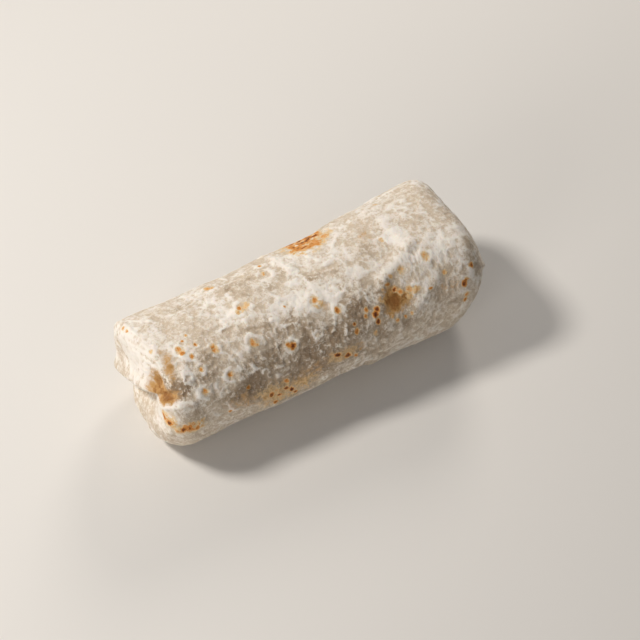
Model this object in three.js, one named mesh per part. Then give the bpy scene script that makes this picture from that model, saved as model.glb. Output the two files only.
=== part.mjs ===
// A burrito: one wheat tortilla rolled round its filling and folded shut at both ends.
// It lies on its side. Millimetres, +Z up, X along the roll, -Y its front side,
// and the origin in the middle of its footprint on the table.
// Places on the roll are a distance along it and an angle round it in degrees:
// 0 at the back, 90 on top, 180 at the front and 270 underneath.
import * as THREE from "three";

// Driving dimensions of the roll
const leftEnd = -91;
const rightEnd = 88;
const leftWidth = 68.5;
const rightWidth = 79;
const heightShare = 0.88;
const sectionPower = 2.25;
const basePressed = 0.07;
const sheetThickness = 2.2;

// Corners where the roll turns onto its ends: a plain radius, with softer or sharper spots round the turn
const cornerRadius = 10;
const leftCornerSpots = [
  { angle: 212, spread: 32, more: 5 },
  { angle: 40, spread: 34, more: -5 },
];
const rightCornerSpots = [
  { angle: 200, spread: 40, more: 14.5 },
  { angle: 70, spread: 25, more: 5 },
  { angle: 35, spread: 20, more: -2.5 },
];

// The free edge of the sheet: low on the front of the left half, lifted near the left end,
// then turning under the roll
const seamAngle = 188;
const seamLift = { along: -72, reach: 10, angle: 12 };
const seamTurnsUnder = { from: 18, to: 52, angle: 40 };
const seamStepAngle = 4;
const seamFadeAngle = 150;
const seamPullAngle = 60;

// The outer layer is folded down over each end. Its free edge slopes across the end: it is edgeHeight above
// the base in the middle and rises towards the front, more and more steeply in front of foldCurl.startY.
// It stands out by its overhang, less at the front than at the back, over a hollow where the layer below
// is drawn in
const leftFold = { edgeHeight: 33.5, slope: 0.62, overhang: 6.2, atFront: 0.2, hollow: 6.6 };
const rightFold = { edgeHeight: 27, slope: 0.28, overhang: 2.6, atFront: 2, hollow: 0.8 };
const foldFade = { backY: 2, frontY: -21 };
const foldCurl = { startY: -9, rise: 0.03 };
const foldStep = 1.6;
const foldFlare = 4;
const foldHollowReach = 5;

// The left end leans out towards its foot, and the right end closes in a blunt bulge
const leftLean = { perHeight: 0.09, level: 22 };
const rightBulge = { y: -14, z: 33, spread: 15, height: 2.6 };

// Hollows and swellings of the roll, each an oval bell
const swellings = [
  { along: -93, angle: 122, reach: 5, arc: 9, height: -5.6 },
  { along: -86, angle: 137, reach: 6, arc: 4.5, height: -3.0 },
  { along: -60, angle: 96, reach: 16, arc: 24, height: 0.9 },
  { along: -52, angle: 146, reach: 12, arc: 14, height: -1.0 },
  { along: -22, angle: 108, reach: 20, arc: 18, height: 1.1 },
  { along: -12, angle: 150, reach: 18, arc: 11, height: -1.1 },
  { along: 14, angle: 88, reach: 16, arc: 20, height: 0.9 },
  { along: 36, angle: 138, reach: 7, arc: 9, height: -1.2 },
  { along: 62, angle: 118, reach: 14, arc: 16, height: 1.2 },
  { along: -8, angle: 38, reach: 9, arc: 8, height: 0.6 },
  { along: -4, angle: 34, reach: 34, arc: 20, height: -1.3 },
  { along: -76, angle: 30, reach: 16, arc: 26, height: 1.8 },
  { along: 76, angle: 34, reach: 16, arc: 22, height: 2.2 },
  { along: 58, angle: 196, reach: 26, arc: 22, height: -1.8 },
  { along: -88, angle: 224, reach: 13, arc: 26, height: 1.2 },
  { along: 30, angle: 202, reach: 14, arc: 14, height: -0.9 },
];

// Creases where the sheet is gathered, each from one place to another
const creases = [
  { from: [50, 78], to: [52, 105], width: 2.2, height: 1.1 },
  { from: [54, 106], to: [33, 122], width: 2.4, height: 1.2 },
  { from: [33, 122], to: [26, 142], width: 2.2, height: 0.9 },
  { from: [43, 155], to: [58, 139], width: 2.4, height: 1.1 },
  { from: [-9, 42], to: [-4, 78], width: 2.0, height: 1.0 },
  { from: [-95, 142], to: [-77, 149], width: 2.0, height: 1.5 },
  { from: [-72, 108], to: [-77, 133], width: 1.8, height: 0.8 },
  { from: [-70, 165], to: [-46, 156], width: 2.4, height: -1.0 },
  { from: [-46, 156], to: [-22, 161], width: 2.4, height: -0.7 },
];

// Gentle unevenness of the filling: waves along and round the roll
const fillingWaves = [
  { length: 71, turns: 2, height: 0.45, phase: 0.6 },
  { length: 43, turns: 3, height: 0.35, phase: 2.1 },
  { length: 29, turns: 5, height: 0.22, phase: 4.0 },
];

// Fineness of the skin: rows over each end, round each corner and along the roll, and points round it
const endRows = 9;
const cornerRows = 5;
const bodyRows = 42;
const seamColumns = 2;
const roundColumns = 68;

const degree = Math.PI / 180;
const quarterTurn = 90;
const fullTurn = 360;
const meanRadius = (leftWidth + rightWidth) / 4;

function bell(distance) {
  return Math.exp(-0.5 * distance * distance);
}

function smoothStep(low, high, value) {
  const t = Math.min(Math.max((value - low) / (high - low), 0), 1);
  return t * t * (3 - 2 * t);
}

// The shorter turn from one angle to another, from -180 to 180
function turnBetween(from, to) {
  const turn = (((to - from) % fullTurn) + fullTurn) % fullTurn;
  return turn > fullTurn / 2 ? turn - fullTurn : turn;
}

function cornerAt(spots, angle) {
  let radius = cornerRadius;
  for (const spot of spots) {
    radius += spot.more * bell(turnBetween(spot.angle, angle) / spot.spread);
  }
  return radius;
}

function widthAt(along) {
  return leftWidth + (rightWidth - leftWidth) * (along - leftEnd) / (rightEnd - leftEnd);
}

// The section is a superellipse, a little squarer than an ellipse
function sectionRadius(width, angle) {
  const across = Math.abs(Math.cos(angle * degree)) / (width / 2);
  const upward = Math.abs(Math.sin(angle * degree)) / (width * heightShare / 2);
  return (across ** sectionPower + upward ** sectionPower) ** (-1 / sectionPower);
}

// The section's middle lies low enough to press its lowest part flat
function middleHeight(width) {
  return (width * heightShare / 2) * (1 - basePressed);
}

function seamAt(along) {
  const lift = seamLift.angle * bell((along - seamLift.along) / seamLift.reach);
  return seamAngle - lift + seamTurnsUnder.angle * smoothStep(seamTurnsUnder.from, seamTurnsUnder.to, along);
}

// Just past the free edge the roll is one layer thinner, and it gains that layer again on the way round
function seamDrop(past) {
  const regained = smoothStep(seamStepAngle, seamFadeAngle, past);
  return sheetThickness * smoothStep(0, seamStepAngle, past) * (1 - regained);
}

function creaseHeight(crease, along, angle) {
  const [fromAlong, fromAngle] = crease.from;
  const [toAlong, toAngle] = crease.to;
  const lengthways = toAlong - fromAlong;
  const round = turnBetween(fromAngle, toAngle) * degree * meanRadius;
  const dx = along - fromAlong;
  const dy = turnBetween(fromAngle, angle) * degree * meanRadius;
  const share = (dx * lengthways + dy * round) / (lengthways ** 2 + round ** 2);
  const nearest = Math.min(Math.max(share, 0), 1);
  const off = Math.hypot(dx - nearest * lengthways, dy - nearest * round);
  return crease.height * bell(off / crease.width);
}

// The unevenness of the rolled sheet, measured square to the surface
function relief(along, angle) {
  let height = 0;
  for (const s of swellings) {
    height += s.height * bell((along - s.along) / s.reach) * bell(turnBetween(s.angle, angle) / s.arc);
  }
  for (const crease of creases) {
    height += creaseHeight(crease, along, angle);
  }
  for (const wave of fillingWaves) {
    const lengthways = Math.sin(2 * Math.PI * along / wave.length + wave.phase);
    height += wave.height * lengthways * Math.cos(wave.turns * angle * degree + 2 * wave.phase);
  }
  return height;
}

// A folded layer flares out towards its free edge, stops there, and leaves a hollow below
function foldRelief(fold, y, z) {
  const curl = foldCurl.rise * Math.min(y - foldCurl.startY, 0) ** 2;
  const above = (z - fold.edgeHeight + fold.slope * y - curl) / Math.hypot(1, fold.slope);
  const back = smoothStep(foldFade.frontY, foldFade.backY, y);
  const overhang = fold.atFront + (fold.overhang - fold.atFront) * back;
  const flare = bell(Math.max(above - foldStep, 0) / foldFlare) * smoothStep(-foldStep, foldStep, above);
  const hollow = back * bell((above + foldHollowReach) / foldHollowReach);
  return overhang * flare - fold.hollow * hollow;
}

function leftEndRelief(y, z) {
  return foldRelief(leftFold, y, z) + leftLean.perHeight * (leftLean.level - z);
}

function rightEndRelief(y, z) {
  const bulge = rightBulge.height * bell(Math.hypot(y - rightBulge.y, z - rightBulge.z) / rightBulge.spread);
  return foldRelief(rightFold, y, z) + bulge;
}

// A point of the skin. side is -1 or 1 on an end and its corner and 0 along the roll, place is the share
// of the roll's straight length passed, turn is how far round the corner in degrees, and inward is the share
// of the end crossed. Each profile is a straight run, a quarter circle and a line in to the end's middle.
function skinPoint({ side, place, turn, inward }, past) {
  const nominal = leftEnd + place * (rightEnd - leftEnd);
  const pull = bell(turnBetween(0, past) / seamPullAngle);
  const angle = seamAngle + (seamAt(nominal) - seamAngle) * pull + past;
  const leftCorner = cornerAt(leftCornerSpots, angle);
  const rightCorner = cornerAt(rightCornerSpots, angle);
  const corner = side < 0 ? leftCorner : rightCorner;
  const runStart = leftEnd + leftCorner;
  const runEnd = rightEnd - rightCorner;
  const run = runStart + place * (runEnd - runStart);
  const x = run + side * corner * Math.sin(turn * degree);
  const width = widthAt(x);
  const radius = sectionRadius(width, angle);
  const across = inward * (radius - corner);
  const inset = side * side * corner * (1 - Math.cos(turn * degree)) + across;
  const path = run + side * (corner * turn * degree + across);
  // The pressed base keeps its shape, the seam ends at the corners, and the relief fades in the end's middle
  const offBase = 1 - smoothStep(0.8, 0.95, -Math.sin(angle * degree));
  const free = offBase * (1 - smoothStep(0.3, 0.9, inward));
  const out = (relief(path, angle) - seamDrop(past) * Math.cos(turn * degree)) * free;
  const level = radius - inset + out * Math.cos(turn * degree);
  const y = level * Math.cos(angle * degree);
  const z = Math.max(middleHeight(width) + level * Math.sin(angle * degree), 0);
  const endRelief = side < 0 ? leftEndRelief(y, z) : rightEndRelief(y, z);
  const endShare = side * Math.sin(turn * degree);
  return new THREE.Vector3(x + endShare * (out + endRelief), y, z);
}

function rowsOfSkin() {
  const rows = [];
  for (const side of [-1, 0, 1]) {
    const endPlace = side < 0 ? 0 : 1;
    const part = [];
    if (side === 0) {
      for (let i = 0; i <= bodyRows; i++) {
        part.push({ side, place: i / bodyRows, turn: 0, inward: 0 });
      }
    } else {
      for (let i = 1; i <= cornerRows; i++) {
        part.push({ side, place: endPlace, turn: quarterTurn * i / cornerRows, inward: 0 });
      }
      for (let i = 1; i < endRows; i++) {
        part.push({ side, place: endPlace, turn: quarterTurn, inward: i / endRows });
      }
    }
    rows.push(...(side < 0 ? part.reverse() : part));
  }
  return rows;
}

// Degrees past the free edge: a few close points down its step, then even ones round the rest
function columnsOfSkin() {
  const columns = [];
  for (let i = 0; i < seamColumns; i++) {
    columns.push(seamStepAngle * i / seamColumns);
  }
  for (let i = 0; i < roundColumns; i++) {
    columns.push(seamStepAngle + (fullTurn - seamStepAngle) * i / roundColumns);
  }
  return columns;
}

// The skin as one closed mesh: rings of points, and a single point in the middle of each end
function skinGeometry() {
  const rows = rowsOfSkin();
  const columns = columnsOfSkin();
  const points = rows.flatMap((row) => columns.map((past) => skinPoint(row, past)));
  const count = columns.length;
  const poles = [-1, 1].map((side) => {
    const place = side < 0 ? 0 : 1;
    return skinPoint({ side, place, turn: quarterTurn, inward: 1 }, 0);
  });
  const leftPole = points.length;
  const rightPole = leftPole + 1;
  points.push(...poles);
  const faces = [];
  for (let j = 0; j < count; j++) {
    const next = (j + 1) % count;
    const lastRow = (rows.length - 1) * count;
    faces.push(leftPole, next, j);
    faces.push(rightPole, lastRow + j, lastRow + next);
    for (let i = 0; i + 1 < rows.length; i++) {
      const here = i * count;
      const beyond = here + count;
      faces.push(here + j, here + next, beyond + next);
      faces.push(here + j, beyond + next, beyond + j);
    }
  }
  const geometry = new THREE.BufferGeometry().setFromPoints(points);
  geometry.setIndex(faces);
  return geometry;
}

// Moved so that the origin is in the middle of the footprint
function centred(geometry) {
  geometry.computeBoundingBox();
  const middle = geometry.boundingBox.getCenter(new THREE.Vector3());
  geometry.translate(-middle.x, -middle.y, -geometry.boundingBox.min.z);
  geometry.computeVertexNormals();
  return geometry;
}

const wheatTortilla = new THREE.MeshStandardMaterial({ color: "#ddccb4", roughness: 0.62, metalness: 0 });

const roll = new THREE.Mesh(centred(skinGeometry()), wheatTortilla);
roll.name = "rolled_tortilla";

const burrito = new THREE.Group();
burrito.add(roll);

export default burrito;
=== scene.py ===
import math
from functools import partial

import bpy
import numpy as np
from mathutils import Matrix, Vector


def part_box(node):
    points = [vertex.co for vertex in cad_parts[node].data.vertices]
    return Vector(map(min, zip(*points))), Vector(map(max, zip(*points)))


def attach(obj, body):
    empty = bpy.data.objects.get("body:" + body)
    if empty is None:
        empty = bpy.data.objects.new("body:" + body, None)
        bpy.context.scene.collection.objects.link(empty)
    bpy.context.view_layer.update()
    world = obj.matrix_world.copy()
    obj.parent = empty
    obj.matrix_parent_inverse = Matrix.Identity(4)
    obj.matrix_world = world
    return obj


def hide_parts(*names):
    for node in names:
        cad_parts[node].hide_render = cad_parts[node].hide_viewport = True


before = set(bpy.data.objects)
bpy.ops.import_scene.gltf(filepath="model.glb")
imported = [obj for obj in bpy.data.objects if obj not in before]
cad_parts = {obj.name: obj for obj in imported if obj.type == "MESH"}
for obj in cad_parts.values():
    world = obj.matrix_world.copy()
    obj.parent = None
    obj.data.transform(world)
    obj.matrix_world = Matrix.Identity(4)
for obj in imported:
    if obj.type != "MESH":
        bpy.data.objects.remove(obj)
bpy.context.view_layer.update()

mm = 0.001
degree = math.pi / 180

# The roll, in millimetres and degrees. Angles go round it: 0 back, 90 top, 180 front, 270 underneath
roll = {
    "leftEnd": -91.0,
    "rightEnd": 88.0,
    "leftWidth": 68.5,
    "rightWidth": 79.0,
    "heightShare": 0.88,
    "sectionPower": 2.25,
    "basePressed": 0.07,
    "cornerRadius": 10.0,
    "baseFade": (0.80, 0.95),  # relief fades out where the skin turns down to the base, by minus sine
    "endFade": (0.30, 0.90),  # and towards the middle of an end, by the share crossed
    "leftCornerSpots": [(212, 32, 5), (40, 34, -5)],  # angle, spread, extra radius
    "rightCornerSpots": [(200, 40, 14.5), (70, 25, 5), (35, 20, -2.5)],
}
meanRadius = (roll["leftWidth"] + roll["rightWidth"]) / 4

seam = {
    "angle": 188.0,
    "lift": (-72.0, 10.0, 12.0),  # along, reach, angle
    "turnsUnder": (18.0, 52.0, 40.0),  # from, to, angle
    "stepAngle": 2.6,
    "fadeAngle": 150.0,
    "pullAngle": 60.0,
    "thickness": 2.2,
}

folds = {
    "left": {"edgeHeight": 33.5, "slope": 0.62, "overhang": 6.2, "atFront": 0.2, "hollow": 6.6},
    "right": {"edgeHeight": 27.0, "slope": 0.28, "overhang": 2.6, "atFront": 2.0, "hollow": 0.8},
    "fade": (-21.0, 2.0),  # from front to back
    "curl": (-9.0, 0.030),  # the edge turns up in front of this y, by this times the distance squared
    "step": 0.9,
    "flare": 3.6,
    "hollowReach": 5.0,
    "leftLean": (0.09, 22.0),  # per height, level
    "rightBulge": (-14.0, 33.0, 15.0, 2.6),  # y, z, reach, height
}

# Broad hollows and swellings: along, angle, reach in mm, arc in degrees, height in mm
swellings = [
    (-93, 122, 5, 9, -5.6),
    (-86, 137, 6, 4.5, -3.0),
    (-60, 96, 16, 24, 0.9),
    (-52, 146, 12, 14, -1.0),
    (-22, 108, 20, 18, 1.1),
    (-12, 150, 18, 11, -1.1),
    (14, 88, 16, 20, 0.9),
    (36, 138, 7, 9, -1.2),
    (62, 118, 14, 16, 1.2),
    (-8, 38, 9, 8, 0.6),
    (-4, 34, 34, 20, -1.3),
    (-76, 30, 16, 26, 1.8),
    (76, 34, 16, 22, 2.2),
    (58, 196, 26, 22, -1.8),
    (-88, 224, 13, 26, 1.2),
    (30, 202, 14, 14, -0.9),
]

# Creases from one place to another: along and angle twice, half width and height in mm
creases = [
    (50, 78, 52, 105, 2.2, 1.1),
    (54, 106, 33, 122, 2.4, 1.2),
    (33, 122, 26, 142, 2.2, 0.9),
    (43, 155, 58, 139, 2.4, 1.1),
    (-9, 42, -4, 78, 2.0, 1.0),
    (-95, 142, -77, 149, 2.0, 1.5),
    (-72, 108, -77, 133, 1.8, 0.8),
    (-70, 165, -46, 156, 2.4, -1.0),
    (-46, 156, -22, 161, 2.4, -0.7),
]

# Slow waves of the filling: length in mm, turns round the roll, height in mm, phase
fillingWaves = [
    (71, 2, 0.45, 0.6),
    (43, 3, 0.35, 2.1),
    (29, 5, 0.22, 4.0),
]

# Blisters puffed up by the griddle, each a pale raised ring: along, angle, radius in mm, straw glow
blisters = [
    (-42, 54, 3.6, 0.3), (-35, 93, 4.6, 0.5), (-3, 115, 4.2, 0.7), (6, 129, 2.7, 0.3),
    (-38.7, 124.5, 4.0, 0.5), (-56.5, 116, 3.3, 0.5), (-22, 139.5, 3.6, 0.6), (-54.5, 140, 3.6, 0.4),
    (-69, 144, 3.4, 0.4), (-67, 126.5, 2.6, 0.2), (-68, 114, 2.2, 0.2), (-71.5, 105, 3.0, 0.6),
    (-64, 105, 1.9, 0.2), (-84, 93, 2.2, 0.3), (-88.5, 56, 3.0, 0.3), (-16, 71, 4.2, 0.4),
    (-14.8, 57, 2.0, 0.1), (43, 93, 3.4, 0.2), (-47, 76, 2.8, 0.0), (-52, 118, 3.0, 0.0),
    (8, 116, 2.6, 0.0), (70, 118, 2.8, 0.1), (-8, 140, 2.2, 0.0), (57.5, 120, 3.0, 0.4),
    (-58, 12, 3.2, 0.4), (-20, 5, 4.2, 0.5), (24, 12, 3.4, 0.3), (60, 22, 4.4, 0.5),
    (40, 345, 3.0, 0.4), (-6, 338, 4.6, 0.5), (-44, 340, 3.4, 0.3), (70, 330, 3.2, 0.4),
    (-70, 320, 2.8, 0.4), (18, 318, 3.8, 0.5),
]

# Marks burnt by the griddle: along, angle, radius in mm, stretch round the roll, darkness
griddleMarks = [
    (-43, 53, 1.3, 1.2, 0.30), (-41, 56, 1.1, 1.0, 0.35), (-36.6, 92.4, 0.9, 1.3, 0.60),
    (-38.2, 96, 1.0, 1.2, 0.30), (-33, 93, 1.8, 0.9, 0.18), (-2.5, 114.4, 1.2, 1.2, 0.42),
    (-1.0, 120, 2.4, 0.8, 0.16), (5.3, 129.3, 1.2, 1.3, 0.62), (-38.9, 124, 1.2, 1.5, 0.42),
    (-37.2, 127, 0.7, 1.0, 0.40), (-56.8, 115, 1.5, 1.3, 0.40), (-55.6, 119, 1.0, 1.0, 0.25),
    (-21.6, 140.2, 1.6, 1.1, 0.85), (-23.4, 138.5, 1.1, 1.8, 0.60), (-54.6, 139.6, 1.2, 1.0, 0.50),
    (-69, 143.2, 1.2, 1.3, 0.42), (-66.8, 126.2, 0.8, 1.2, 0.55), (-68, 113.5, 1.0, 1.3, 0.45),
    (-71.9, 103, 1.2, 1.2, 0.45), (-71.2, 108, 1.1, 1.0, 0.62), (-64, 105.6, 0.8, 1.0, 0.70),
    (-65.6, 94, 0.6, 1.2, 0.60), (-68.4, 97.6, 0.5, 1.0, 0.75), (-84, 93, 1.2, 0.8, 0.25),
    (-88.8, 52, 1.1, 1.0, 0.30), (-88.5, 58.5, 0.8, 1.5, 0.35), (-14.8, 57, 0.8, 1.6, 0.55),
    (-16, 68.5, 0.9, 1.6, 0.20), (-17, 109, 0.5, 1.0, 0.50), (43.2, 91, 0.9, 1.6, 0.28),
    (55, 50, 1.0, 1.2, 0.22), (19, 138.4, 1.0, 1.2, 0.60), (17.6, 143, 0.9, 1.0, 0.45),
    (11, 144.4, 0.9, 1.0, 0.78), (11, 150.6, 1.2, 1.5, 0.62), (24, 141, 1.2, 1.0, 0.95),
    (22.8, 144.6, 1.5, 1.0, 1.10), (23, 151, 1.1, 1.3, 1.00), (20.5, 159, 1.2, 1.3, 0.30),
    (36.4, 134, 1.2, 0.9, 1.10), (39, 137, 1.3, 1.2, 0.40), (34, 127.6, 1.4, 0.9, 0.40),
    (37, 123, 1.2, 0.9, 0.25), (43.4, 122, 1.8, 1.0, 0.28), (43.6, 138, 1.3, 1.2, 0.34),
    (47, 140, 2.4, 0.7, 0.16), (42.8, 143, 2.0, 0.8, 0.14), (53.6, 143.6, 0.9, 0.7, 0.66),
    (57.5, 120, 1.8, 1.5, 0.26), (63.6, 137.4, 1.4, 1.0, 0.36), (77.6, 140.6, 0.9, 1.6, 0.95),
    (71.6, 151.4, 1.2, 1.5, 0.95), (73.2, 149, 0.8, 1.0, 0.80), (71, 165.6, 1.3, 1.0, 0.72),
    (72.4, 161.5, 1.2, 1.3, 0.38), (33, 156.4, 1.1, 1.0, 0.36), (37.6, 156.6, 0.9, 0.8, 0.62),
    (41, 155.6, 0.7, 1.3, 0.40), (31, 152, 0.9, 1.0, 0.36), (28, 137.6, 1.1, 0.8, 0.24),
    (-1.4, 162.2, 1.5, 0.7, 0.82), (4, 167, 1.4, 0.9, 0.82), (8.4, 171, 1.0, 1.2, 0.50),
    (-48, 157.5, 1.2, 0.8, 0.55), (-29, 166.5, 1.0, 1.0, 0.45), (-38, 173, 1.0, 1.4, 0.72),
    (-34, 177, 0.9, 1.0, 0.80), (-30, 173, 0.9, 1.4, 0.70), (-27, 178, 1.1, 1.2, 0.85),
    (-25, 183, 0.8, 1.2, 0.65), (-36, 184, 0.9, 1.0, 0.60), (-81, 167.4, 1.2, 1.2, 0.40),
    (-84.6, 170, 0.9, 1.6, 0.30), (-77.6, 171, 1.0, 1.2, 0.40), (-91, 162.6, 1.3, 0.8, 0.50),
    (-95.4, 158, 0.8, 2.2, 0.45), (-60, 170, 0.8, 1.0, 0.40), (50, 340, 1.4, 1.0, 0.80),
    (-30, 350, 1.3, 1.2, 0.90), (5, 325, 1.6, 1.0, 0.85), (30, 350, 1.2, 1.3, 0.60),
    (66, 4, 1.2, 1.0, 0.80), (-19, 6, 1.6, 1.2, 0.60), (60.5, 21, 1.5, 1.0, 0.65),
    (-58, 12, 1.1, 1.0, 0.45), (-6, 338, 1.5, 1.2, 0.70), (18.5, 318, 1.3, 1.0, 0.60),
    (24, 12, 1.2, 1.3, 0.45), (-70, 320, 1.0, 1.0, 0.50), (103, 62, 1.4, 1.0, 0.60),
    (107, 92, 1.0, 1.2, 0.45), (105, 300, 1.2, 1.0, 0.55), (101, 20, 1.1, 1.2, 0.50),
]

# Toasted patches: along, angle, reach in mm, arc in degrees, strength, share of broken flecks
toastedPatches = [
    (12, 45, 7.2, 14, 0.98, 0.90),
    (24, 48, 3.5, 8, 0.34, 0.5),
    (-92, 158, 3.0, 4.5, 0.52, 0.7),
    (-81, 169, 6.0, 3.6, 0.60, 0.8),
    (-29, 178, 12, 8, 0.34, 0.6),
    (-41, 165, 5, 3, 0.30, 0.3),
    (2, 165, 8, 4, 0.26, 0.5),
    (40, 342, 14, 9, 0.70, 0.6),
    (-50, 352, 12, 8, 0.60, 0.5),
    (2, 312, 20, 9, 0.60, 0.6),
    (70, 300, 12, 8, 0.55, 0.5),
    (104, 58, 4, 10, 0.40, 0.6),
]

# Tan stains with soft edges, and painted shade in the hollow under the left end's fold: along, angle,
# reach in mm, arc in degrees, strength
tanStainsAndHollowShade = [
    # These three rows darken the hollow under the left end's fold: partly the thin damp sheet's own tan,
    # partly painted shade
    (-97, 123, 4.2, 9, 0.95),
    (-86, 137, 4, 3.0, 0.60),
    (-91, 135, 4.5, 5.0, 0.90),
    (-90, 112, 3.0, 7, 0.45),
    (-79, 105, 1.8, 7, 0.55),
    (-81, 119, 1.6, 9, 0.35),
    (33, 138, 3.6, 7.0, 0.70),
    (38, 142, 4.5, 4.5, 0.85),
    (31, 148, 3, 3, 0.45),
    (45, 120, 5, 3, 0.20),
    (0.5, 121, 3, 4, 0.35),
    (-30, 124, 5, 6, 0.20),
    (37, 80, 3.5, 16, 0.30),
    (-24, 62, 4, 8, 0.20),
    (-53, 162, 8, 6, 0.30),
    (-30, 172, 14, 9, 0.45),
    (2, 165, 9, 5, 0.45),
    (62, 150, 10, 8, 0.25),
]

# Damp zones, where the sheet has soaked up moisture and the filling shows through it, grey and glassy:
# along, angle, reach in mm, arc in degrees, strength
dampZones = [
    (-62, 61, 5, 4, 0.45),
    (-34, 68, 2.5, 7, 0.45),
    (-23, 66, 4, 8, 0.40),
    (-8, 74, 2, 8, 0.40),
    (-18, 86, 3, 3.5, 0.40),
    (-30, 82, 3, 6, 0.30),
    (2, 96, 6, 5, 0.50),
    (33, 92, 4, 8, 0.35),
    (15, 107, 4, 7, 0.40),
    (47, 80, 3, 8, 0.35),
    (-47, 106, 4, 9, 0.40),
    (-36, 114, 7, 4, 0.40),
    (-58, 100, 5, 8, 0.20),
    (-64, 124, 7, 12, 0.60),
    (-78, 130, 6, 7, 0.75),
    # These two rows also darken the hollow under the left end's fold: partly moisture, partly painted
    # shade
    (-84, 136, 5, 5, 1.00),
    (-87, 120, 4, 10, 0.80),
    (-27, 125, 6, 8, 0.45),
    (-45, 146, 8, 13, 0.55),
    (-33, 144, 8, 9, 0.55),
    (-13, 146, 8, 14, 0.80),
    (-16, 124, 5, 5, 0.40),
    (4, 143, 9, 9, 0.65),
    (18, 129, 8, 8, 0.65),
    (18, 151, 10, 8, 0.40),
    (34, 138, 9, 12, 0.45),
    (60, 150, 14, 8, 0.25),
    (82, 136, 6, 12, 0.45),
    (84, 82, 4, 14, 0.35),
    (-62, 156, 18, 6, 0.35),
    (-20, 166, 50, 8, 0.38),
    (40, 172, 40, 14, 0.25),
    (-30, 192, 50, 10, 0.45),
    (20, 330, 50, 26, 0.50),
    (-60, 10, 24, 20, 0.40),
    (-26, 16, 13, 8, 0.55),
    (34, 14, 15, 9, 0.55),
    (66, 352, 13, 12, 0.55),
    (-6, 350, 12, 8, 0.50),
    (103, 250, 9, 40, 0.60),
    (106, 140, 7, 20, 0.55),
]

# Dry floury zones: along, angle, reach in mm, arc in degrees, strength
flouryZones = [
    (-100, 70, 13, 40, 1.00),
    (-94, 142, 12, 3.0, 0.80),
    (-100, 165, 9, 14, 0.60),
    (-50, 58, 6, 11, 0.50),
    (-43, 93, 5, 9, 0.55),
    (-18, 108, 6, 5, 0.80),
    (-18, 76, 4, 6, 0.60),
    (-5, 110, 9, 9, 0.65),
    (-6, 66, 1.5, 10, 0.80),
    (4, 66, 8, 10, 0.60),
    (-3, 84, 2.5, 3, 0.60),
    (6, 117, 6, 6, 0.75),
    (22, 84, 6, 8, 0.40),
    (22, 108, 3, 6, 0.50),
    (32, 111, 5, 5, 0.40),
    (52, 88, 3, 14, 0.75),
    (43, 94, 4, 5, 0.45),
    (45, 116, 8, 3, 0.50),
    (46, 147, 4, 3, 0.60),
    (58, 60, 12, 14, 0.30),
    (66, 116, 8, 8, 0.60),
    (71, 138, 5, 7, 0.40),
    (79, 110, 5, 7, 0.45),
    (-73, 121, 1.6, 7, 0.60),
    (-84, 112, 1.4, 8, 0.60),
    (6, 22, 8, 6, 0.70),
    (-46, 24, 8, 7, 0.70),
    (54, 24, 8, 6, 0.60),
    (-72, 352, 9, 9, 0.50),
    (-20, 200, 14, 7, 0.35),
    (44, 196, 12, 8, 0.35),
    (108, 78, 12, 44, 0.65),
]

# Bundles of fine wrinkles: along, angle, reach in mm, arc in degrees, spacing in mm,
# direction in degrees (0 lies across the roll) and height in mm
wrinkleBundles = [
    (-77, 122, 6, 13, 2.3, 8, 0.26),
    (-90, 98, 6, 22, 3.4, -20, 0.18),
    (-4, 60, 6, 12, 2.6, 14, 0.30),
    (20, 66, 8, 8, 2.8, 30, 0.16),
    (53, 120, 4, 9, 2.2, 22, 0.24),
    (-58, 162, 14, 7, 3.0, 62, 0.28),
    (-30, 166, 14, 7, 2.8, 68, 0.24),
    (6, 168, 12, 6, 2.8, 80, 0.22),
    (47, 150, 7, 6, 2.6, 40, 0.22),
    (-84, 146, 10, 4, 2.6, 85, 0.26),
    (20, 184, 20, 6, 3.2, 84, 0.10),
    (-40, 20, 20, 14, 3.4, 60, 0.25),
    (50, 14, 22, 12, 3.4, 110, 0.25),
]

skin = {
    "endRows": (30, 20),  # left and right
    "cornerRows": (26, 20),
    "bodyRows": 246,
    "seamColumns": 5,
    "nearColumns": 32,  # from the free edge to the start of the underside
    "underColumns": 72,
    "seenColumns": 168,
    "nearAngle": 24.0,
    "seenAngle": 186.0,
    "leastRadius": 1.0,  # mm, for arcs near the middle of an end
    "seed": 20,
}


def bell(distance):
    # exp(-distance ^ 2 / 2)
    return np.exp(-0.5 * distance * distance)


def smoothStep(low, high, value):
    # t ^ 2 * (3 - 2 t), where t is the share of the way from low to high, from 0 to 1
    t = np.clip((value - low) / (high - low), 0, 1)
    return t * t * (3 - 2 * t)


def turnBetween(start, end):
    # The shorter turn from one angle to another, from -180 to 180 degrees
    return (end - start + 180) % 360 - 180


class Lattice:
    # Smooth noise from -1 to 1: random values at the corners of a repeating cubic lattice,
    # blended between the eight corners round each point
    size = 48
    layerShift = 17.3  # mm, so that the layers don't line up

    def __init__(self, seed):
        self.values = np.random.default_rng(seed).uniform(-1, 1, (self.size,) * 3)

    def at(self, points, cell):
        place = points / cell
        corner = np.floor(place).astype(int)
        t = place - corner
        t = t * t * (3 - 2 * t)
        total = np.zeros(points.shape[:-1])
        for dx in (0, 1):
            for dy in (0, 1):
                for dz in (0, 1):
                    step = np.array((dx, dy, dz))
                    index = (corner + step) % self.size
                    weight = np.prod(np.where(step == 1, t, 1 - t), axis=-1)
                    total += weight * self.values[index[..., 0], index[..., 1], index[..., 2]]
        return total

    def layered(self, points, cell, layers=3, gain=0.5):
        # Each layer has half the cell of the one before and gain times its strength
        total = sum(gain**i * self.at(points + self.layerShift * i, cell / 2**i) for i in range(layers))
        return total / sum(gain**i for i in range(layers))


broadNoise = Lattice(seed=3)
fineNoise = Lattice(seed=8)


def cornerAt(spots, angle):
    # The usual radius, with a bell of extra radius round each spot
    more = sum(extra * bell(turnBetween(at, angle) / arc) for at, arc, extra in spots)
    return roll["cornerRadius"] + more


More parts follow.
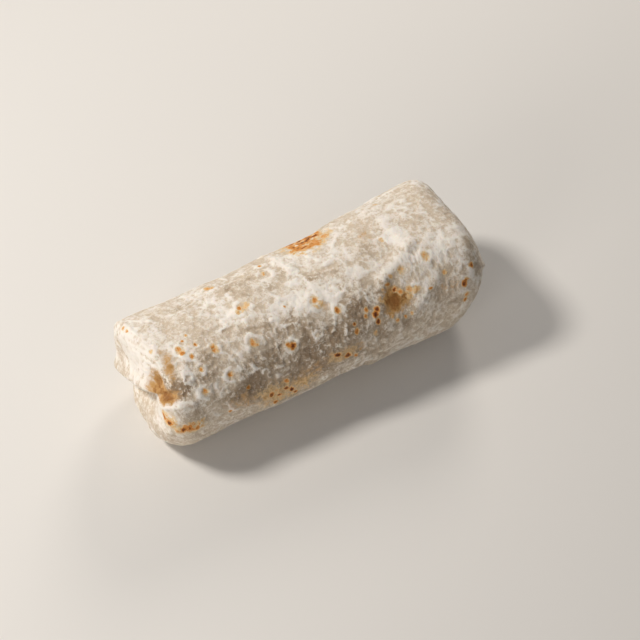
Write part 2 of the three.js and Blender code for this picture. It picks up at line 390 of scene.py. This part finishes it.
def sectionRadius(width, angle):
    # Superellipse: (|cos| / half width) ^ n + (|sin| / half height) ^ n = (1 / radius) ^ n
    n = roll["sectionPower"]
    across = np.abs(np.cos(angle * degree)) / (width / 2)
    upward = np.abs(np.sin(angle * degree)) / (width * roll["heightShare"] / 2)
    return (across**n + upward**n) ** (-1 / n)


def seamAt(along):
    # Angle of the free edge: lifted by a bell near the left end, and eased underneath further on
    liftAlong, liftReach, liftAngle = seam["lift"]
    start, end, underAngle = seam["turnsUnder"]
    lift = liftAngle * bell((along - liftAlong) / liftReach)
    return seam["angle"] - lift + underAngle * smoothStep(start, end, along)


def creaseRelief(path, angle):
    # Each crease is a bell across the straight line between its two places on the unrolled sheet
    height = 0
    for fromAlong, fromAngle, toAlong, toAngle, width, top in creases:
        lengthways = toAlong - fromAlong
        around = turnBetween(fromAngle, toAngle) * degree * meanRadius
        dx = path - fromAlong
        dy = turnBetween(fromAngle, angle) * degree * meanRadius
        share = np.clip((dx * lengthways + dy * around) / (lengthways**2 + around**2), 0, 1)
        off = np.hypot(dx - share * lengthways, dy - share * around)
        height = height + top * bell(off / width)
    return height


def broadRelief(path, angle):
    height = creaseRelief(path, angle)
    for along, at, reach, arc, top in swellings:
        height = height + top * bell((path - along) / reach) * bell(turnBetween(at, angle) / arc)
    for length, turns, top, phase in fillingWaves:
        wave = np.sin(2 * math.pi * path / length + phase)
        height = height + top * wave * np.cos(turns * angle * degree + 2 * phase)
    return height


def foldRelief(fold, y, z):
    # The folded layer flares out towards its free edge, stops there, and leaves a hollow below
    curlStart, curl = folds["curl"]
    edge = fold["edgeHeight"] - fold["slope"] * y + curl * np.minimum(y - curlStart, 0) ** 2
    above = (z - edge) / math.hypot(1, fold["slope"])
    back = smoothStep(*folds["fade"], y)
    overhang = fold["atFront"] + (fold["overhang"] - fold["atFront"]) * back
    flare = bell(np.maximum(above - folds["step"], 0) / folds["flare"])
    flare = flare * smoothStep(-folds["step"], folds["step"], above)
    hollow = back * bell((above + folds["hollowReach"]) / folds["hollowReach"])
    return overhang * flare - fold["hollow"] * hollow


def endRelief(side, y, z):
    # The fold of each end, with a lean in proportion to height on the left and a round bell on the right
    perHeight, level = folds["leftLean"]
    bulgeY, bulgeZ, reach, top = folds["rightBulge"]
    left = foldRelief(folds["left"], y, z) + perHeight * (level - z)
    right = foldRelief(folds["right"], y, z) + top * bell(np.hypot(y - bulgeY, z - bulgeZ) / reach)
    return np.where(side < 0, left, right)


def skinRows():
    # One row: side, share of the straight run, turn round the corner in degrees, share of the end crossed
    rows = []
    for side, endRows, cornerRows in zip((-1, 1), skin["endRows"], skin["cornerRows"]):
        place = 0.0 if side < 0 else 1.0
        end = [(side, place, 90.0 * i / cornerRows, 0.0) for i in range(1, cornerRows + 1)]
        end += [(side, place, 90.0, i / endRows) for i in range(1, endRows)]
        rows.append(end[::-1] if side < 0 else end)
    body = [(0, i / skin["bodyRows"], 0.0, 0.0) for i in range(skin["bodyRows"] + 1)]
    return np.array(rows[0] + body + rows[1], float)


def skinColumns():
    # Degrees past the free edge: close down its step and over the seen side, wider underneath
    marks = [0, seam["stepAngle"], skin["nearAngle"], skin["seenAngle"], 360]
    counts = [skin["seamColumns"], skin["nearColumns"], skin["underColumns"], skin["seenColumns"]]
    runs = [np.linspace(a, b, n, endpoint=False) for a, b, n in zip(marks, marks[1:], counts)]
    return np.concatenate(runs)


def skinSurface(rows, past, fineRelief=0.0):
    # Each point is the run along the roll, then a quarter circle round the corner, then straight in to
    # the middle of the end; relief moves it out square to that profile, and the base is cut flat at zero
    side, place, turn, inward = [rows[:, i][:, None] for i in range(4)]
    nominal = roll["leftEnd"] + place * (roll["rightEnd"] - roll["leftEnd"])
    pull = bell(turnBetween(0, past) / seam["pullAngle"])
    angle = seam["angle"] + (seamAt(nominal) - seam["angle"]) * pull + past
    leftCorner = cornerAt(roll["leftCornerSpots"], angle)
    rightCorner = cornerAt(roll["rightCornerSpots"], angle)
    corner = np.where(side < 0, leftCorner, rightCorner)
    runStart = roll["leftEnd"] + leftCorner
    runEnd = roll["rightEnd"] - rightCorner
    run = runStart + place * (runEnd - runStart)
    x = run + side * corner * np.sin(turn * degree)
    lengthShare = (x - roll["leftEnd"]) / (roll["rightEnd"] - roll["leftEnd"])
    width = roll["leftWidth"] + (roll["rightWidth"] - roll["leftWidth"]) * lengthShare
    radius = sectionRadius(width, angle)
    across = inward * (radius - corner)
    inset = np.abs(side) * corner * (1 - np.cos(turn * degree)) + across
    path = run + side * (corner * turn * degree + across)
    level = radius - inset
    axisHeight = width * roll["heightShare"] / 2 * (1 - roll["basePressed"])
    offBase = 1 - smoothStep(*roll["baseFade"], -np.sin(angle * degree))
    free = offBase * (1 - smoothStep(*roll["endFade"], inward))
    regained = smoothStep(seam["stepAngle"], seam["fadeAngle"], past)
    drop = seam["thickness"] * smoothStep(0, seam["stepAngle"], past) * (1 - regained)
    out = (broadRelief(path, angle) - drop * np.cos(turn * degree)) * free
    out = out + fineRelief * offBase
    level = level + out * np.cos(turn * degree)
    y = level * np.cos(angle * degree)
    z = np.maximum(axisHeight + level * np.sin(angle * degree), 0)
    x = x + side * np.sin(turn * degree) * (out + endRelief(side, y, z))
    return np.stack([x, y, z], -1), path, angle, np.maximum(radius - inset, skin["leastRadius"])


def placeOf(path, angle, level, along, at, warp):
    # Distances in mm on the skin from one place, along the roll and round it, shifted a little by noise
    dx = path - along + warp[0]
    dy = turnBetween(at, angle) * degree * level + warp[1]
    return dx, dy


def spread(zones, path, angle, warp):
    # A sum of oval bells, each top * bell(distance along / reach) * bell(turn / arc)
    total = 0
    for along, at, reach, arc, top in zones:
        dx = (path - along + warp[0]) / reach
        dy = (turnBetween(at, angle) + warp[1] / meanRadius / degree) / arc
        total = total + top * bell(dx) * bell(dy)
    return total


def rings(shape, q):
    # A sum of bells of q, the distance from the middle: each strength * bell((q - place) / width)
    return sum(strength * bell((q - place) / width) for place, width, strength in shape)


def blot(q):
    # A spot with a flat middle and a quick edge: exp(-0.7 * q ^ 3.6)
    return np.exp(-0.7 * q**3.6)


def ridges(noise, sharpness):
    # Thin crests along the lines where a noise crosses zero: 1 - sharpness * |noise|
    return 1 - sharpness * np.abs(noise)


# The sheet itself. Each noise is its cell in mm, its layers and a factor
sheet = {
    "bend": (2.6, 3, 1.3),  # shifts of small outlines, in mm
    "drift": (11.0, 3, 3.5),  # shifts of zones, in mm
    "stainAndShadeDrift": 0.6,  # share of it that shifts the stains and the painted shade in the left end's hollow
    "broken": (3.4, 2, 1.6),  # breaks up lines of flour
    "brokenLevels": (0.75, 0.1, 1.2),  # middle, least, most
    "puff": (10.0, 3, 0.55),  # height in mm
    "pillow": (4.2, 2, 1.0),
    "pillowSharpness": 2.2,
    "pillowHeight": 0.26,
    "pillowFlour": 0.35,
    "crinkle": (2.3, 2, 1.0),
    "crinkleSharpness": 2.4,
    "crinkleHeight": 0.27,
    "crinkleFlour": 0.45,
    "ridgeLevel": 0.4,  # a ridge above this is floury, and below it bare
    "crinkleWhere": (0.6, 0.6),  # where dry, and how much more where damp
    "creaseFlour": 0.25,
}

wrinkles = {
    "gathered": (5.5, 2, 1.3),  # a noise, as above
    "gatheredLevels": (0.6, 0.0, 1.3),
    "drift": 0.5,
    "flour": 0.5,
}

shortCreases = {
    "count": 260,
    "pastEnds": (8.0, 4.0),  # left and right, in mm
    "angles": (-60, 230),
    "length": (3.0, 10.0),
    "width": (0.45, 0.75),
    "top": (0.14, 0.42),
    "drift": 0.8,
    "fade": (150, 175, 0.6),  # from, to, share lost: the lower front is smoother
    "flour": 0.7,
    "drying": 0.25,
}

# Blisters. Each set of rings is place and width, as shares of the radius, and strength
blister = {
    "form": ((0.0, 0.95, 0.40), (0.85, 0.28, 0.60), (0.0, 0.40, -0.30)),
    "heightShare": 0.14,  # of the radius
    "flourRim": ((0.95, 0.18, 0.85),),
    "bareMiddle": ((0.0, 0.5, 0.30),),
    "drying": ((0.0, 1.0, 0.60),),
    "stained": ((0.0, 0.55, 0.55),),
    "toasted": ((0.5, 0.12, 0.34),),
    "bend": 0.45,
    "fullBendRadius": 3.0,
    "small": 120,  # small plain ones, by a seeded draw
    "smallAngles": (-60, 240),
    "smallRadius": (0.8, 2.4),
    "smallHeight": 0.34,
}

griddle = {
    "bend": 0.45,
    "markToast": (0.2, 1.05),  # at no darkness, and how much more at a darkness of 1
    "halo": ((0.0, 1.8, 0.06),),
    "patchEdge": 1.4,  # a patch has faded by half at this share of its reach
    "fleck": (2.4, 3, 1.6),
    "patchLevel": 0.8,
}


class Markings:
    # Gathers the fine relief and the colour amounts of every point of the skin, all as whole arrays
    def __init__(self, points, path, angle, level):
        self.points, self.path, self.angle, self.level = points, path, angle, level
        self.bend = [self.noise(fineNoise, sheet["bend"], shift) for shift in (0, 40)]
        self.drift = [self.noise(broadNoise, sheet["drift"], shift) for shift in (0, 55)]
        self.drift = [drift + bend for drift, bend in zip(self.drift, self.bend)]
        middle, least, most = sheet["brokenLevels"]
        self.broken = np.clip(middle + self.noise(fineNoise, sheet["broken"], 62), least, most)
        self.height = np.zeros(points.shape[:-1])
        self.damp = spread(dampZones, path, angle, self.drift)
        self.dry = spread(flouryZones, path, angle, self.drift)
        self.dry += sheet["creaseFlour"] * creaseRelief(path, angle)
        # The stain amount holds real stains, blister glow and the painted shade in the hollow under the
        # left end's fold
        self.stainAndShade = spread(tanStainsAndHollowShade, path, angle, [sheet["stainAndShadeDrift"] * d for d in self.drift])
        self.toast = np.zeros(points.shape[:-1])

    def noise(self, lattice, setting, shift):
        # The lattice's layered noise times the factor; each use has a shift in mm that keeps it apart
        cell, layers, factor = setting
        return factor * lattice.layered(self.points + shift, cell, layers)

    def away(self, along, at, shifts, share=1.0):
        # Distances of every point from one place, its outline bent by a share of the shifts
        return placeOf(self.path, self.angle, self.level, along, at, [share * shift for shift in shifts])

    def addSheetRelief(self):
        # Soft puffs, pillows between thin creases, and crinkles that are stronger where the sheet is damp
        pillow = ridges(self.noise(broadNoise, sheet["pillow"], 31), sheet["pillowSharpness"])
        crinkle = ridges(self.noise(fineNoise, sheet["crinkle"], 9), sheet["crinkleSharpness"])
        whereDry, moreWhereDamp = sheet["crinkleWhere"]
        crinkled = whereDry + moreWhereDamp * np.clip(self.damp, 0, 1)
        self.height += self.noise(broadNoise, sheet["puff"], 0) + sheet["pillowHeight"] * pillow
        self.height += sheet["crinkleHeight"] * crinkle * crinkled
        self.dry += sheet["pillowFlour"] * (pillow - sheet["ridgeLevel"])
        self.dry += sheet["crinkleFlour"] * (crinkle - sheet["ridgeLevel"])

    def addWrinkles(self):
        # Each bundle is a sine across its direction under an oval bell, uneven by the noise
        middle, least, most = wrinkles["gatheredLevels"]
        gathered = np.clip(middle + self.noise(fineNoise, wrinkles["gathered"], 70), least, most)
        for along, at, reach, arc, spacing, direction, top in wrinkleBundles:
            dx, dy = self.away(along, at, self.bend)
            across = dx * math.cos(direction * degree) + dy * math.sin(direction * degree)
            across += wrinkles["drift"] * self.drift[0]
            envelope = bell(dx / reach) * bell(dy / (arc * degree * meanRadius))
            wave = envelope * np.sin(2 * math.pi * across / spacing) * gathered
            self.height += top * wave
            self.dry += wrinkles["flour"] * wave

    def addShortCreases(self):
        # Short raised creases in all directions, by a seeded draw, each a bell across a bent line
        draw = np.random.default_rng(skin["seed"] + 1)
        pastLeft, pastRight = shortCreases["pastEnds"]
        fadeFrom, fadeTo, lost = shortCreases["fade"]
        for _ in range(shortCreases["count"]):
            along = draw.uniform(roll["leftEnd"] - pastLeft, roll["rightEnd"] + pastRight)
            at = draw.uniform(*shortCreases["angles"])
            length, turned = draw.uniform(*shortCreases["length"]), draw.uniform(0, math.pi)
            width, top = draw.uniform(*shortCreases["width"]), draw.uniform(*shortCreases["top"])
            dx, dy = self.away(along, at, self.drift, shortCreases["drift"])
            onward = dx * math.cos(turned) + dy * math.sin(turned)
            aside = dy * math.cos(turned) - dx * math.sin(turned)
            beyond = np.maximum(np.abs(onward) - length / 2, 0)
            crest = bell(aside / width) * bell(beyond / width) * self.broken
            crest *= 1 - lost * smoothStep(fadeFrom, fadeTo, at)
            self.height += top * crest
            self.dry += shortCreases["flour"] * crest
            self.damp -= shortCreases["drying"] * crest

    def addBlister(self, along, at, radius, glow, top):
        # A raised ring with a floury rim, and a middle that is stained and toasted by its glow
        bend = blister["bend"] * min(radius / blister["fullBendRadius"], 1)
        dx, dy = self.away(along, at, self.bend, bend)
        q = np.hypot(dx, dy) / radius
        self.height += top * rings(blister["form"], q)
        self.dry += rings(blister["flourRim"], q) * self.broken - rings(blister["bareMiddle"], q)
        self.damp *= 1 - rings(blister["drying"], q)
        self.stainAndShade += glow * rings(blister["stained"], q)
        self.toast += glow * rings(blister["toasted"], q)

    def addBlisters(self):
        for along, at, radius, glow in blisters:
            self.addBlister(along, at, radius, glow, blister["heightShare"] * radius)
        draw = np.random.default_rng(skin["seed"])
        low, high = blister["smallRadius"]
        for _ in range(blister["small"]):
            along = draw.uniform(roll["leftEnd"], roll["rightEnd"])
            at = draw.uniform(*blister["smallAngles"])
            radius = low + (high - low) * draw.random() ** 2
            self.addBlister(along, at, radius, 0.0, blister["smallHeight"] * radius / high)

    def addGriddleMarks(self):
        # Each mark is a blot with a faint halo; where marks meet, the darker one wins
        palest, more = griddle["markToast"]
        for along, at, radius, stretch, darkness in griddleMarks:
            dx, dy = self.away(along, at, self.bend, griddle["bend"])
            q = np.hypot(dx, dy / stretch) / radius
            self.toast = np.maximum(self.toast, (palest + more * darkness) * blot(q))
            self.toast += rings(griddle["halo"], q)

    def addToastedPatches(self):
        # Browned where the sheet lay on the griddle, broken up by a noise
        fleck = self.noise(fineNoise, griddle["fleck"], 23)
        for along, at, reach, arc, strength, flecks in toastedPatches:
            dx, dy = self.away(along, at, self.bend)
            q = np.hypot(dx / reach, dy / (arc * degree * meanRadius)) / griddle["patchEdge"]
            self.toast += strength * blot(q) * (griddle["patchLevel"] + flecks * fleck)

    def make(self):
        self.addSheetRelief()
        self.addWrinkles()
        self.addShortCreases()
        self.addBlisters()
        self.addGriddleMarks()
        self.addToastedPatches()
        return self


def skinFaces(rowCount, columnCount):
    # Quads between neighbouring rows, closed round the roll, and a fan of triangles at each pole
    row = np.arange(rowCount - 1)[:, None]
    column = np.arange(columnCount)[None, :]
    following = (column + 1) % columnCount
    here, beyond = row * columnCount, (row + 1) * columnCount
    quads = np.stack([here + column, here + following, beyond + following, beyond + column], -1)
    leftPole = rowCount * columnCount
    rightPole = leftPole + 1
    last = (rowCount - 1) * columnCount
    ring, ringNext = column[0], following[0]
    leftFan = np.stack([np.full(columnCount, leftPole), ringNext, ring], -1)
    rightFan = np.stack([np.full(columnCount, rightPole), last + ring, last + ringNext], -1)
    return quads.reshape(-1, 4), np.concatenate([leftFan, rightFan])


def meshFromArrays(name, points, quads, triangles):
    mesh = bpy.data.meshes.new(name)
    mesh.vertices.add(len(points))
    mesh.vertices.foreach_set("co", points.astype(np.float32).ravel())
    corners = np.concatenate([quads.ravel(), triangles.ravel()]).astype(np.int32)
    quadStarts = np.arange(len(quads)) * 4
    triangleStarts = len(quads) * 4 + np.arange(len(triangles)) * 3
    starts = np.concatenate([quadStarts, triangleStarts]).astype(np.int32)
    mesh.loops.add(len(corners))
    mesh.loops.foreach_set("vertex_index", corners)
    mesh.polygons.add(len(starts))
    mesh.polygons.foreach_set("loop_start", starts)
    mesh.update(calc_edges=True)
    mesh.validate()
    mesh.shade_smooth()
    return mesh


def addAmount(mesh, name, values):
    # Stores one amount for each vertex; a pole takes the mean of the row round it
    poles = [values[0].mean(), values[-1].mean()]
    amount = mesh.attributes.new(name, "FLOAT", "POINT")
    amount.data.foreach_set("value", np.concatenate([values.ravel(), poles]).astype(np.float32))


def makeSkin():
    # The marks are worked out on the plain skin, which is then made again with their relief
    print("burrito: skin surface")
    rows, past = skinRows(), skinColumns()[None, :]
    base, path, angle, level = skinSurface(rows, past)
    print("burrito: fine relief and marks")
    marks = Markings(base, path, angle, level).make()
    points, *_ = skinSurface(rows, past, marks.height)
    poles = [points[row].mean(0) for row in (0, -1)]
    grid = np.concatenate([points.reshape(-1, 3), poles])

    print("burrito: skin mesh")
    low, high = grid.min(0), grid.max(0)
    cadMiddle = np.array(sum(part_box("rolled_tortilla"), Vector()) / 2)
    middle = (low + high) / 2 * mm - cadMiddle
    grid = grid * mm - np.array((middle[0], middle[1], 0))
    quads, fans = skinFaces(len(rows), past.shape[1])
    mesh = meshFromArrays("rolled_wheat_tortilla", grid, quads, fans)
    addAmount(mesh, "dry", marks.dry)
    addAmount(mesh, "damp", marks.damp)
    addAmount(mesh, "stainAndShade", marks.stainAndShade)
    addAmount(mesh, "toast", marks.toast)
    piece = bpy.data.objects.new("rolled_wheat_tortilla", mesh)
    bpy.context.scene.collection.objects.link(piece)
    return piece


def colour(hexCode):
    # sRGB hex to the linear values that the shaders take, with a full alpha
    parts = [int(hexCode[i:i + 2], 16) / 255 for i in (1, 3, 5)]
    return [c / 12.92 if c <= 0.04045 else ((c + 0.055) / 1.055) ** 2.4 for c in parts] + [1.0]


def addNode(tree, kind, inputs, output=0, **settings):
    # An input takes a value or another node's output; settings are the node's own options
    made = tree.nodes.new("ShaderNode" + kind)
    for name, value in settings.items():
        setattr(made, name, value)
    for key, value in inputs.items():
        if isinstance(value, bpy.types.NodeSocket):
            tree.links.new(value, made.inputs[key])
        else:
            made.inputs[key].default_value = value
    return made.outputs[output] if made.outputs else made


def newMaterial(name):
    material = bpy.data.materials.new(name)
    material.use_nodes = True
    material.node_tree.nodes.clear()
    return material, partial(addNode, material.node_tree)


# Inputs and output of a Mix node set to colour, by their place
mixFactor, mixFirst, mixSecond, mixResult = 0, 6, 7, 2

tortillaFinish = {
    "flour": "#F2ECE3",
    "cream": "#E2D8CA",
    "beige": "#CFBFA9",
    "soaked": "#99836A",
    "tan": "#C4995F",
    "umber": "#966530",
    "straw": "#E3C595",
    "gold": "#D68E40",
    "brown": "#84471B",
    "char": "#45210F",
    # Noises: size of the grain in mm, detail, swirl
    "patch": (8.0, 3.0, 0.6),
    "grain": (2.8, 3.0, 0.8),
    "frost": (1.25, 2.0, 1.2),
    "vein": (4.5, 2.0, 1.0),
    "noiseRoughness": 0.6,
    # How much of each noise and skin amount adds up to an amount of colour
    "dryStart": 0.1,
    "dryMix": {"damp": -0.55, "patch": 2.2, "grain": 1.4, "vein": -2.0},
    "leastDry": -0.4,
    "fleckMix": {"dryness": 0.34},
    "depthMix": {"patch": -1.2, "grain": -1.0},
    "stainAndShadeMix": {"patch": 1.4, "grain": 1.5},
    "burnMix": {"grain": 0.5, "frost": 1.1},
    "markStart": (0.0, 0.3),
    # Where each colour starts to cover and where it covers all
    "soakedRange": (0.10, 1.05),
    "flourRange": (0.0, 1.0),
    "fleckRange": (-0.12, 0.14),
    "stainAndShadeSteps": {"tan": (0.05, 0.75), "umber": (0.60, 1.30)},
    "burnSteps": {
        "straw": (0.10, 0.42),
        "gold": (0.38, 0.72),
        "brown": (0.78, 1.15),
        "char": (1.15, 1.55),
    },
    "bumpMix": {"grain": 0.8},
    "bumpHeight": 0.32,
    "dryRoughness": 0.75,
    "dampRoughness": 0.42,
    "glossRange": (0.0, 0.8),
    "ior": 1.42,
    "subsurface": 0.12,
    "scatterDepth": 1.6,
    "scatterColour": (1.0, 0.6, 0.35),
}


def bakedWheatTortilla():
    # Griddled flour tortilla: matt and floury where dry, glassy grey-beige with frosty specks where it has
    # drawn up moisture, straw to dark brown where it touched the griddle; a little light sinks into it
    f = tortillaFinish
    material, add = newMaterial("baked_wheat_tortilla")
    place = add("TexCoord", {}, "Object")
    signal = {}
    for name in ("dry", "damp", "stainAndShade", "toast"):
        signal[name] = add("Attribute", {}, "Fac", attribute_name=name)
    for name in ("patch", "grain", "frost", "vein"):
        size, detail, swirl = f[name]
        noise = add("TexNoise", {
            "Vector": place,
            "Scale": 1 / (size * mm),
            "Detail": detail,
            "Roughness": f["noiseRoughness"],
            "Distortion": swirl,
        })
        signal[name] = add("Math", {0: noise, 1: 0.5}, operation="SUBTRACT")
    signal["vein"] = add("Math", {0: signal["vein"]}, operation="ABSOLUTE")

    def addedUp(start, mix):
        # The start plus each signal times its weight
        total = start
        for name, weight in mix.items():
            total = add("Math", {0: signal[name], 1: weight, 2: total}, operation="MULTIPLY_ADD")
        return total

    def between(amount, limits, none=0.0, full=1.0):
        # Eases from one value to the other as the amount goes from the lower limit to the upper one
        lower, upper = limits
        inputs = {"Value": amount, "From Min": lower, "From Max": upper, "To Min": none, "To Max": full}
        return add("MapRange", inputs, interpolation_type="SMOOTHSTEP")

    def laidOver(shade, amount, limits, cover):
        # Covers a shade with another as the amount goes from the lower limit to the upper one
        inputs = {mixFactor: between(amount, limits), mixFirst: shade, mixSecond: cover}
        return add("Mix", inputs, mixResult, data_type="RGBA")

    # The fine frost is cut at a level that follows how dry the sheet is, so specks join to patches
    dryness = addedUp(add("Math", {0: signal["dry"], 1: f["dryStart"]}, operation="ADD"), f["dryMix"])
    signal["dryness"] = add("Math", {0: dryness, 1: f["leastDry"]}, operation="MAXIMUM")
    flecks = addedUp(signal["frost"], f["fleckMix"])
    depth = addedUp(signal["damp"], f["depthMix"])
    wet = laidOver(colour(f["beige"]), depth, f["soakedRange"], colour(f["soaked"]))
    floury = laidOver(colour(f["cream"]), signal["dryness"], f["flourRange"], colour(f["flour"]))
    shade = laidOver(wet, flecks, f["fleckRange"], floury)

    # The stain amount, which holds real stains and the painted shade in the hollow under the left end's
    # fold, is made ragged by the noises, though only where there is some
    stained, ragged = between(signal["stainAndShade"], f["markStart"]), addedUp(signal["stainAndShade"], f["stainAndShadeMix"])
    stainAndShade = add("Math", {0: stained, 1: ragged}, operation="MULTIPLY")
    for name, limits in f["stainAndShadeSteps"].items():
        shade = laidOver(shade, stainAndShade, limits, colour(f[name]))

    # So is a mark of the griddle
    toasted, ragged = between(signal["toast"], f["markStart"]), addedUp(0.0, f["burnMix"])
    burn = add("Math", {0: toasted, 1: ragged, 2: signal["toast"]}, operation="MULTIPLY_ADD")
    for name, limits in f["burnSteps"].items():
        shade = laidOver(shade, burn, limits, colour(f[name]))

    dampRoughness = between(depth, f["glossRange"], f["dryRoughness"], f["dampRoughness"])
    flouryRoughness = between(flecks, f["fleckRange"], 0.0, f["dryRoughness"])
    relief = addedUp(signal["frost"], f["bumpMix"])
    surface = add("BsdfPrincipled", {
        "Base Color": shade,
        "Roughness": add("Math", {0: dampRoughness, 1: flouryRoughness}, operation="MAXIMUM"),
        "Normal": add("Bump", {"Height": relief, "Distance": f["bumpHeight"] * mm, "Strength": 1.0}),
        "IOR": f["ior"],
        "Subsurface Weight": f["subsurface"],
        "Subsurface Radius": f["scatterColour"],
        "Subsurface Scale": f["scatterDepth"] * mm,
    })
    add("OutputMaterial", {"Surface": surface})
    return material


view = {
    "aim": (5.80, -8.80, 33.0),
    "distance": 702.1,
    "azimuth": -30.402,  # 0 looks along +Y, 90 along -X
    "elevation": 53.690,
    "roll": 0.881,
    "lens": 78.75,
    "sensor": 36.0,
}


def makeCamera():
    azimuth, elevation, turned = [view[name] * degree for name in ("azimuth", "elevation", "roll")]
    level = Vector((math.cos(azimuth), math.sin(azimuth), 0))
    ahead = Vector((math.sin(azimuth), -math.cos(azimuth), 0))
    back = ahead * math.cos(elevation) + Vector((0, 0, math.sin(elevation)))
    right = level * math.cos(turned) + back.cross(level) * math.sin(turned)
    turn = Matrix((right, back.cross(right), back)).transposed().to_4x4()
    lens = bpy.data.cameras.new("camera")
    lens.lens = view["lens"]
    lens.sensor_width = view["sensor"]
    lens.sensor_fit = "HORIZONTAL"
    camera = bpy.data.objects.new("camera", lens)
    camera.matrix_world = Matrix.Translation((Vector(view["aim"]) + back * view["distance"]) * mm) @ turn
    bpy.context.scene.collection.objects.link(camera)
    bpy.context.scene.camera = camera


studio = {
    # Each light: place in mm, size in mm, watts, colour
    "lights": {
        "window_light": ((-560, 380, 860), 220, 7.7, "#FFF9F2"),
        "back_light": ((560, 620, 560), 320, 2.9, "#FFF6EC"),
        "side_light": ((-820, -420, 330), 420, 2.5, "#FFF7F0"),
    },
    "lightsAim": (0, 0, 30),
    "world": ("#EAEAEC", 0.21),
    "floor": "#E4E2DE",
    "floorSide": 4000,
    "floorDrop": 0.2,
    "floorRoughness": 0.85,
    "pulpSize": 3.846,
    "pulpHeight": 0.05,
    "pulpStrength": 0.4,
}


def makeLights():
    for name, (place, size, watts, tint) in studio["lights"].items():
        lamp = bpy.data.lights.new(name, "AREA")
        lamp.shape = "DISK"
        lamp.size = size * mm
        lamp.energy = watts
        lamp.color = colour(tint)[:3]
        light = bpy.data.objects.new(name, lamp)
        light.location = Vector(place) * mm
        aim = Vector(studio["lightsAim"]) - Vector(place)
        light.rotation_euler = aim.to_track_quat("-Z", "Y").to_euler()
        bpy.context.scene.collection.objects.link(light)
    world = bpy.data.worlds.new("studio")
    world.use_nodes = True
    sky = world.node_tree.nodes["Background"]
    tint, strength = studio["world"]
    sky.inputs["Color"].default_value = colour(tint)
    sky.inputs["Strength"].default_value = strength
    bpy.context.scene.world = world


def mattePaper():
    # Uncoated studio backdrop paper: even, matt, with a faint pulp mottle
    material, add = newMaterial("backdrop_paper")
    place = add("TexCoord", {}, "Object")
    pulp = add("TexNoise", {"Vector": place, "Scale": 1 / (studio["pulpSize"] * mm), "Detail": 3.0})
    bump = {"Height": pulp, "Distance": studio["pulpHeight"] * mm, "Strength": studio["pulpStrength"]}
    surface = add("BsdfPrincipled", {
        "Base Color": colour(studio["floor"]),
        "Roughness": studio["floorRoughness"],
        "Normal": add("Bump", bump),
    })
    add("OutputMaterial", {"Surface": surface})
    return material


def makeFloor():
    half = studio["floorSide"] / 2 * mm
    drop = -studio["floorDrop"] * mm
    corners = [(-half, -half, drop), (half, -half, drop), (half, half, drop), (-half, half, drop)]
    mesh = bpy.data.meshes.new("floor")
    mesh.from_pydata(corners, [], [(0, 1, 2, 3)])
    mesh.materials.append(mattePaper())
    floor = bpy.data.objects.new("floor", mesh)
    bpy.context.scene.collection.objects.link(floor)


print("burrito: camera, lights and floor")
bpy.context.scene.view_settings.view_transform = "Standard"
makeCamera()
makeLights()
makeFloor()

tortilla = makeSkin()
print("burrito: finish")
tortilla.data.materials.append(bakedWheatTortilla())
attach(tortilla, "root")
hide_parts("rolled_tortilla")
